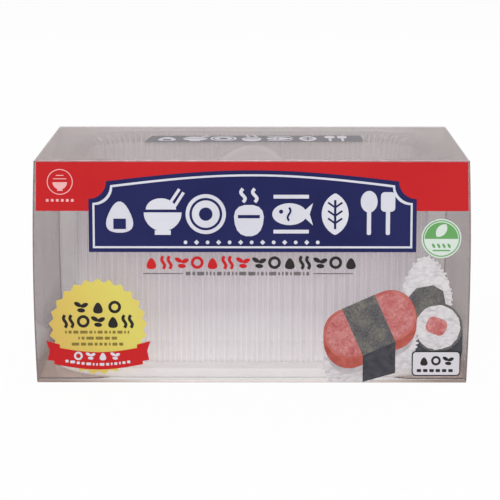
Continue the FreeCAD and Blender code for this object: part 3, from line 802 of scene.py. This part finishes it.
def bowl_mark():
    bowl = [half_disc(0, -0.4, 4.5, 0), box(-1.9, 3.9, 1.9, 5.0), half_disc(-0.4, -1.1, 3.6, 180, 0.75)]
    sticks = [line(1.7, -2.6, 4.0, -6.0, 0.7), line(2.9, -1.9, 5.0, -5.2, 0.7)]
    return bowl + sticks, []


def roll_mark():
    return [disc(0, 0, 4.8)], [disc(0, 0, 1.6)] + ring_shapes(0, 0, 3.9, 3.3)


def cup_mark():
    cup = smooth([(-3.9, -2.2), (3.9, -2.2), (3.0, 5.3), (-3.0, 5.3)], 2)
    steam = [wave(x, -2.9, 3.2, 0.5, 0.8) for x in (-1.4, 1.4)]
    return [cup] + steam, [box(-2.6, 0.2, 2.6, 1.0)]


def fish_mark():
    fish = [disc(-0.6, 0, 4.1, squash=0.64), [(2.0, 0), (5.0, -2.7), (4.2, 0), (5.0, 2.7)]]
    lines = [line(-4.4, y, 4.0, y, 0.9) for y in (-4.2, 4.2)]
    return fish + lines, [disc(-2.6, -0.6, 0.5, 16), wave(-0.7, 1.6, 3.2, -0.35, 0.5)]


def leaf_mark():
    veins = [line(0, -3.4, 0, 3.6, 0.55)]
    for y in (-1.6, 0.4, 2.2):
        veins += [line(0, y, x, y - 1.2, 0.45) for x in (1.7, -1.7)]
    return [leaf(2.4, 5.6, 14)], veins


def spoon_mark():
    spoon = [disc(-2.2, -3.0, 2.0, squash=1.3), box(-2.7, -1.4, -1.7, 5.0, 0.4)]
    paddle = [box(0.6, -5.3, 4.0, -0.6, 0.9), box(1.8, -1.0, 2.8, 5.0, 0.4)]
    return spoon + paddle, []


def mark_row(x, y, pitch, size):
    """Row of generic kitchen marks: all their shapes, and all their details."""
    marks = []
    cuts = []
    row = (rice_ball_mark, bowl_mark, roll_mark, cup_mark, fish_mark, leaf_mark, spoon_mark)
    for index, mark in enumerate(row):
        shapes, details = mark()
        marks += [move(shape, x + pitch * index, y, 0, size) for shape in shapes]
        cuts += [move(shape, x + pitch * index, y, 0, size) for shape in details]
    return marks, cuts


MARKS_Y = 15.7
MARKS, CUTS = mark_row(-38.3, MARKS_Y, pitch=12.5, size=1.22)
ink("print_marks", MARKS, WHITE, 5)
ink("print_mark_details", CUTS, NAVY, 6)

DIAMOND = [(0, -0.75), (0.75, 0), (0, 0.75), (-0.75, 0)]
DOTS_X = -19.2
DOTS_Y = 24.0
DOTS_PITCH = 3.2
PLAQUE_DOTS = []
for index in range(13):
    spot = (DOTS_X + DOTS_PITCH * index, DOTS_Y)
    PLAQUE_DOTS.append(move(DIAMOND, *spot) if index % 2 else disc(*spot, 0.55, 16))
ink("print_plaque_dots", PLAQUE_DOTS, WHITE, 5)

# In the maker's place: a plain bowl in a ring, over a row of dots
SIGN_X = -55.5
SIGN_DOTS_X = -59.6
SIGN_DOTS_PITCH = 1.45
SIGN = ring_shapes(SIGN_X, 6.3, outer=3.75, inner=3.5)
SIGN += [half_disc(SIGN_X, 6.4, radius=2.1, start=0), box(SIGN_X - 0.8, 8.5, SIGN_X + 0.8, 8.9)]
SIGN += [line(SIGN_X - reach, y, SIGN_X + reach, y, width=0.25) for reach, y in ((1.9, 5.4), (1.1, 4.4))]
for index in range(6):
    x = SIGN_DOTS_X + SIGN_DOTS_PITCH * index
    SIGN.append(box(x, 11.3, x + 0.8, 12.1, radius=0.2, count=2))
ink("print_sign", SIGN, SIGN_PINK, 2)


# ---------------------------------------------------------------- front print: rows of ornaments

KINDS = 4
RICE_BALL, RING, GRAINS, STEAM = range(KINDS)


def ornament(kind, x, y, size):
    """Small plain ornament of a border row."""
    if kind == RICE_BALL:
        return [rice_ball(x, y, 0.30 * size)]
    if kind == RING:
        return ring_shapes(x, y, 1.5 * size, 0.8 * size, 24)
    if kind == GRAINS:
        spots = ((-0.8, -0.6, 30), (0.75, -0.4, -25), (0.0, 0.8, 5))
        return [disc(x + gx * size, y + gy * size, 0.95 * size, 14, 0.55, turn) for gx, gy, turn in spots]
    return [wave(x + gx * size, y + 1.5 * size, 3.0 * size, 0.35 * size, 0.72 * size) for gx in (-0.8, 0.7)]


def ornament_row(kinds, x, y, pitch, size):
    shapes = []
    for index, kind in enumerate(kinds):
        shapes += ornament(kind, x + pitch * index, y, size)
    return shapes


ROW_Y = 30.0
ROW_PITCH = 4.45
ROW_SIZE = 1.25
ROW_RED = ornament_row([3 * n % KINDS for n in range(7)], -29.2, ROW_Y, ROW_PITCH, ROW_SIZE)
ROW_BLACK = ornament_row([(3 * n + 2) % KINDS for n in range(7)], 2.2, ROW_Y, ROW_PITCH, ROW_SIZE)
ink("print_row_red", ROW_RED, RED, 1)
ink("print_row_black", ROW_BLACK, BLACK, 1)

ROW_THIN = [box(-31.6, 33.1, -20.0, 33.4), box(18.0, 33.1, 29.5, 33.4)]
ROW_THIN += dashes(-19.2, 17.0, spare=0.6, middle=33.25, thickness=1.1, runs=(0.5, 0.8, 1.4, 2.1), gap=0.55)
ink("print_row_thin", ROW_THIN, GREY, 1)

# Starburst with two rows of ornaments and three of dashes
BURST_X = -44.95
BURST_Y = 49.1
BURST_POINTS = 25
BURST_TIP = 14.4
BURST_NOTCH = 13.2
BURST = []
for index in range(2 * BURST_POINTS):
    angle = math.radians((index + 0.5) * 180 / BURST_POINTS)
    reach = BURST_TIP if index % 2 else BURST_NOTCH
    BURST.append((BURST_X + reach * math.cos(angle), BURST_Y + reach * math.sin(angle)))
ink("print_burst", [BURST], YELLOW, 1)
BURST_MARKS = ornament_row((GRAINS, RICE_BALL, RING), -49.8, 43.2, 4.9, ROW_SIZE)
BURST_MARKS += ornament_row((STEAM, RING, GRAINS, RICE_BALL, STEAM), -53.6, 47.5, 4.35, ROW_SIZE)
ink("print_burst_marks", BURST_MARKS, BLACK, 2)
BURST_DASHES = []
for left, right, middle in ((-54.6, -35.2, 50.7), (-50.8, -39.4, 52.5), (-52.7, -37.6, 54.3)):
    BURST_DASHES += dashes(left, right, 0.4, middle, thickness=0.9, runs=(0.5, 0.9, 1.5, 2.2), gap=0.5)
ink("print_burst_dashes", BURST_DASHES, OCHRE, 2)

# Sash across the starburst's foot, with folded tails
SASH_LEFT = -57.9
SASH_RIGHT = -31.9
SASH_DIP = 1.6
SASH_STEPS = 16
SASH_MIDDLE = (SASH_LEFT + SASH_RIGHT) / 2
LEFT_TAIL = [(-60.2, 53.3), (-56.2, 54.4), (-56.2, 59.6), (-59.8, 59.0), (-59.2, 56.2)]
LEFT_FOLD = [(SASH_LEFT, 59.2), (-56.0, 59.5), (-56.0, 60.2)]


def mirrored(points):
    """Shape on the other side of the sash's middle."""
    return [(2 * SASH_MIDDLE - x, y) for x, y in points]


def sash_dip(x):
    return SASH_DIP * math.sin(math.pi * (x - SASH_LEFT) / (SASH_RIGHT - SASH_LEFT))


def sash(top, bottom):
    """Band that hangs a little between its ends."""
    upper = []
    lower = []
    for step in range(SASH_STEPS + 1):
        x = SASH_LEFT + (SASH_RIGHT - SASH_LEFT) * step / SASH_STEPS
        upper.append((x, top + sash_dip(x)))
        lower.append((x, bottom + sash_dip(x)))
    return upper + lower[::-1]


ink("print_sash_tails", [LEFT_TAIL, mirrored(LEFT_TAIL)], RED, 2)
ink("print_sash_folds", [LEFT_FOLD, mirrored(LEFT_FOLD)], RED_FOLD, 3)
ink("print_sash", [sash(55.1, 60.3)], RED, 4)
SASH_MARKS = ornament_row((RING, GRAINS, RICE_BALL, GRAINS), -50.8, 57.8, 3.6, 0.85)
SASH_MARKS += dashes(-54.6, -34.8, 1.4, 58.75, thickness=0.8, runs=(0.5, 0.9, 1.4), gap=0.5, drop=sash_dip)
ink("print_sash_marks", SASH_MARKS, WHITE, 5)

# Round badge with a leaf over grains
BADGE_X = 55.1
BADGE_Y = 22.85
ink("print_badge_ground", [disc(BADGE_X, BADGE_Y, radius=5.78)], GREEN_PALE, 1)
ink("print_badge_ring", ring_shapes(BADGE_X, BADGE_Y, outer=5.4, inner=5.08), GREEN, 2)
ink("print_badge_top", [half_disc(BADGE_X, BADGE_Y + 0.1, radius=4.85, start=180)], GREEN, 2)
ink("print_badge_leaf", [move(leaf(1.2, 2.6, 10), BADGE_X, 20.5, turn=38)], GREEN_PALE, 3)
BADGE_GRAINS = [disc(BADGE_X + x, 25.0, 0.75, 14, squash=0.5, turn=60) for x in (-2.25, -0.75, 0.75, 2.25)]
ink("print_badge_grains", BADGE_GRAINS + [box(52.6, 26.2, 57.6, 26.6)], GREEN, 2)


# ---------------------------------------------------------------- front print: picture of food

ROUGH_STEP = 0.7


def rough(points, amount):
    """Outline with small random bumps, such as the edge of a rice block."""
    result = []
    bump = 0.0
    along = 0.0
    for (ax, ay), (bx, by) in zip(points, points[1:] + points[:1]):
        length = math.hypot(bx - ax, by - ay)
        if length == 0:
            continue
        ux = (bx - ax) / length
        uy = (by - ay) / length
        while along < length:
            bump = 0.4 * bump + random.uniform(-amount, amount)
            result.append((ax + ux * along + uy * bump, ay + uy * along - ux * bump))
            along += ROUGH_STEP
        along -= length
    return result


def grains(points, spread, tries, apart):
    """Rice grains scattered along an outline, none over another."""
    shapes = []
    centres = []
    edges = list(zip(points, points[1:] + points[:1]))
    for _ in range(tries):
        (ax, ay), (bx, by) = random.choice(edges)
        part = random.random()
        x = ax + (bx - ax) * part + random.uniform(-spread, spread)
        y = ay + (by - ay) * part + random.uniform(-spread, spread)
        if any(math.hypot(x - cx, y - cy) < apart for cx, cy in centres):
            continue
        centres.append((x, y))
        shapes.append(disc(x, y, random.uniform(0.5, 0.72), 12, 0.6, random.uniform(0, 180)))
    return shapes


def slab(x, y, length, width, corner, turn):
    return move(box(-length / 2, -width / 2, length / 2, width / 2, corner, 8), x, y, turn)


def swept(shape, depth):
    """Outline of a rounded shape swept straight down by a depth."""
    start = shape.index(min(shape, key=lambda point: point[0]))
    around = shape[start:] + shape[:start]
    cut = around.index(max(shape, key=lambda point: point[0]))
    halves = [around[:cut + 1], around[cut:] + around[:1]]
    upper, lower = sorted(halves, key=lambda half: min(y for _, y in half))
    return upper + [(x, y + depth) for x, y in lower]


# Rice ball at the back
BACK_RICE = rice_ball(50.8, 35.4, 2.0)
BACK_WRAP = smooth([(45.6, 38.0), (55.4, 36.2), (57.2, 45.0), (46.4, 46.4)], 1)
ink("picture_back_rice", [rough(BACK_RICE, 0.16)], RICE, 1)
ink("picture_back_grains", grains(BACK_RICE, spread=0.25, tries=240, apart=1.15), RICE, 2)
ink("picture_back_nori", [BACK_WRAP], NORI, 3)

# Rolled rice at the right, cut face to the front
ROLL_X = 54.4
ROLL_Y = 49.2
ROLL_RADIUS = 7.3
ROLL_MEAT = slab(ROLL_X - 0.4, ROLL_Y - 0.4, length=6.0, width=5.0, corner=1.8, turn=20)
ink("picture_roll_side", [swept(disc(ROLL_X, ROLL_Y, ROLL_RADIUS, 40), depth=6.4)], NORI_SIDE, 4)
ink("picture_roll_nori", [disc(ROLL_X, ROLL_Y, ROLL_RADIUS, 56)], NORI, 5)
ink("picture_roll_rice", [rough(disc(ROLL_X, ROLL_Y, 6.6, 40), 0.16)], RICE, 6)
ink("picture_roll_meat", [ROLL_MEAT], MEAT, 7)
ink("picture_roll_grains", grains(disc(ROLL_X, ROLL_Y, 5.1, 20), spread=0.8, tries=90, apart=1.75), RICE, 8)

# Pressed block in front: rice, a slab of meat and a band of nori around both
BLOCK_X = 34.6
BLOCK_Y = 48.4
BLOCK_TURN = -24
WRAP_DROP = 9.4


def block_slab(length, width, corner, drop=0.0):
    """Rounded slab that lies as the block does, lower by a drop."""
    return slab(BLOCK_X, BLOCK_Y + drop, length, width, corner, BLOCK_TURN)


BLOCK_RICE = swept(block_slab(27.8, 14.8, 6.8, drop=3.0), depth=6.0)
ink("picture_block_rice", on_panel([rough(BLOCK_RICE, 0.2)]), RICE, 8)
ink("picture_block_grains", on_panel(grains(BLOCK_RICE, spread=0.35, tries=330, apart=1.15)), RICE, 9)
ink("picture_block_shade", [swept(block_slab(26.6, 14.0, 6.4, drop=3.4), depth=1.6)], RICE_SHADE, 9)
ink("picture_block_meat_side", [swept(block_slab(28.0, 15.2, 7.1), depth=2.7)], MEAT_SIDE, 10)
ink("picture_block_meat_rim", [block_slab(27.7, 14.9, 7.0)], MEAT_RIM, 11)
ink("picture_block_meat", [block_slab(26.3, 13.5, 6.5)], MEAT, 12)
WRAP_TOP = move(box(-5.6, -7.7, 4.8, 7.6), BLOCK_X, BLOCK_Y, BLOCK_TURN)
WRAP_EDGE = WRAP_TOP[2:]
WRAP_SIDE = WRAP_EDGE[::-1] + [(x, y + WRAP_DROP) for x, y in WRAP_EDGE]
ink("picture_block_nori_side", on_panel([WRAP_SIDE]), NORI_SIDE, 13)
ink("picture_block_nori", [WRAP_TOP], NORI, 13)

# Plain rounded label over the picture
LABEL_LEFT = 46.9
LABEL_TOP = 56.2
LABEL_RIGHT = 61.2
LABEL_FOOT = 63.7


def label_box(inset, radius):
    return box(LABEL_LEFT + inset, LABEL_TOP + inset, LABEL_RIGHT - inset, LABEL_FOOT - inset, radius)


ink("print_label_border", [label_box(inset=0, radius=1.2)], BLACK, 14)
ink("print_label", [label_box(inset=0.35, radius=0.95)], LABEL_WHITE, 15)
LABEL_ROW_Y = 59.1
LABEL_DASHES_X = 48.4
LABEL_DASHES_PITCH = 1.85
LABEL_MARKS = ornament(RICE_BALL, 50.5, LABEL_ROW_Y, 0.95)
LABEL_MARKS += ornament(RING, 54.0, LABEL_ROW_Y, 0.95)
LABEL_MARKS += ornament(GRAINS, 57.6, LABEL_ROW_Y, 1.0)
for index in range(6):
    x = LABEL_DASHES_X + LABEL_DASHES_PITCH * index
    LABEL_MARKS.append(box(x, 61.6, x + 1.3, 62.5, radius=0.2, count=2))
ink("print_label_marks", LABEL_MARKS, BLACK, 16)


# ---------------------------------------------------------------- lid print

LID_STRIP = [(-33.4, 0.4), (34.4, 2.4), (34.1, 17.6), (-31.4, 16.4)]
LID_MARKS_X = 0.4
LID_MARKS_Y = 9.2
LID_MARK_WIDTH = 0.70
LID_MARK_DEPTH = 1.02


def on_lid(shapes):
    """Marks of the front print, narrower, and upright to someone who stands before the carton."""
    result = []
    for shape in shapes:
        outline = []
        for x, y in shape:
            lid_x = LID_MARKS_X + LID_MARK_WIDTH * x
            lid_y = LID_MARKS_Y - LID_MARK_DEPTH * (y - MARKS_Y)
            outline.append((lid_x, lid_y))
        result.append(outline)
    return result


ink("lid_print_ground", [LID_STRIP], LID_GROUND, 1, lid_point, "lid")
ink("lid_print_marks", on_lid(MARKS), LID_MARK, 2, lid_point, "lid")
ink("lid_print_details", on_lid(CUTS), LID_GROUND, 3, lid_point, "lid")


# ---------------------------------------------------------------- cut edges of the bottom dust flaps

(FLAP_TIP, FLAP_FRONT, FLAP_LOW), (FLAP_END, _, FLAP_HIGH) = box_mm("bottom_dust_flap_right")
FLAP_ROOT = FLAP_END - 0.1
FLAP_BACK = 28.1  # where the back edge starts to slant
FLAP_CORNER = 9
FLAP_MIDDLE = (FLAP_LOW + FLAP_HIGH) / 2
RIM_RADIUS = 0.14


def flap_rim(name, side):
    corner_x = FLAP_TIP + FLAP_CORNER
    outline = [(FLAP_ROOT, FLAP_FRONT), (corner_x, FLAP_FRONT)]
    outline += arc(corner_x, FLAP_FRONT + FLAP_CORNER, FLAP_CORNER, -90, -180, 8)
    outline += [(FLAP_TIP, 0), (FLAP_TIP, FLAP_BACK)]
    tube(name, [(side * x, y, FLAP_MIDDLE) for x, y in outline], RIM_RADIUS, EDGE, "root")


flap_rim("rim_base_flap_left", -1)
flap_rim("rim_base_flap_right", 1)


# ---------------------------------------------------------------- floor, light and world

FLOOR_SIZE = 6.0
FLOOR_Z = -0.0002
FLOOR_WHITE = 0.95  # share of plain white in what the camera sees of the floor
WHITE_LIGHT = (1, 1, 1, 1)
AMBIENT = 0.45
SUBJECT = (0, 0, 0.03)


def seen_directly(tree):
    """1 for rays from the camera, in reflections and through clear things, else 0."""
    rays = tree.nodes.new("ShaderNodeLightPath").outputs
    seen = rays["Is Camera Ray"]
    for kind in ("Is Glossy Ray", "Is Transmission Ray"):
        either = tree.nodes.new("ShaderNodeMath")
        either.operation = "MAXIMUM"
        tree.links.new(seen, either.inputs[0])
        tree.links.new(rays[kind], either.inputs[1])
        seen = either.outputs[0]
    return seen


def white_floor():
    """Pale floor that keeps a faint shadow and looks white to the camera and in reflections."""
    bm = bmesh.new()
    bmesh.ops.create_grid(bm, x_segments=1, y_segments=1, size=FLOOR_SIZE)
    mesh = bpy.data.meshes.new("floor")
    bm.to_mesh(mesh)
    bm.free()
    plane = bpy.data.objects.new("floor", mesh)
    plane.location.z = FLOOR_Z
    bpy.context.scene.collection.objects.link(plane)
    m = Nodes("floor_paper")
    m.colour(m.ramp(m.noise(3, 2), (0.3, srgb(236, 236, 236)), (0.7, srgb(241, 241, 241))))
    m.shader.inputs["Roughness"].default_value = 0.9
    m.gloss(0.1)
    glow = m.add("ShaderNodeEmission", Color=WHITE_LIGHT, Strength=1.0)
    mix = m.add("ShaderNodeMixShader", Fac=m.math("MULTIPLY", seen_directly(m.tree), FLOOR_WHITE))
    m.tree.links.new(m.shader.outputs[0], mix.inputs[1])
    m.tree.links.new(glow.outputs[0], mix.inputs[2])
    m.tree.links.new(mix.outputs[0], m.tree.nodes["Material Output"].inputs["Surface"])
    mesh.materials.append(m.material)


def studio_world():
    """Soft grey light from all round, behind a backdrop that looks white."""
    world = bpy.data.worlds.new("studio")
    bpy.context.scene.world = world
    world.use_nodes = True
    tree = world.node_tree
    ambient = tree.nodes["Background"]
    backdrop = tree.nodes.new("ShaderNodeBackground")
    for background, strength in ((ambient, AMBIENT), (backdrop, 1.0)):
        background.inputs["Color"].default_value = WHITE_LIGHT
        background.inputs["Strength"].default_value = strength
    choice = tree.nodes.new("ShaderNodeMixShader")
    tree.links.new(seen_directly(tree), choice.inputs[0])
    tree.links.new(ambient.outputs[0], choice.inputs[1])
    tree.links.new(backdrop.outputs[0], choice.inputs[2])
    tree.links.new(choice.outputs[0], tree.nodes["World Output"].inputs["Surface"])


def lamp(name, place, width, height, power):
    """Soft area lamp that faces the subject."""
    data = bpy.data.lights.new(name, "AREA")
    data.shape = "RECTANGLE"
    data.size = width
    data.size_y = height
    data.energy = power
    item = bpy.data.objects.new(name, data)
    item.location = place
    aim = Vector(SUBJECT) - Vector(place)
    item.rotation_euler = aim.to_track_quat("-Z", "Y").to_euler()
    bpy.context.scene.collection.objects.link(item)


white_floor()
studio_world()
lamp("key", (-0.7, -1.2, 0.95), width=0.5, height=0.7, power=9.8)
lamp("fill", (0.75, -1.2, 0.65), width=0.5, height=0.7, power=5.8)
lamp("back", (0.1, 1.1, 1.1), width=1.2, height=0.5, power=8)

bpy.context.scene.view_settings.view_transform = "Standard"
bpy.context.scene.cycles.transparent_max_bounces = 48
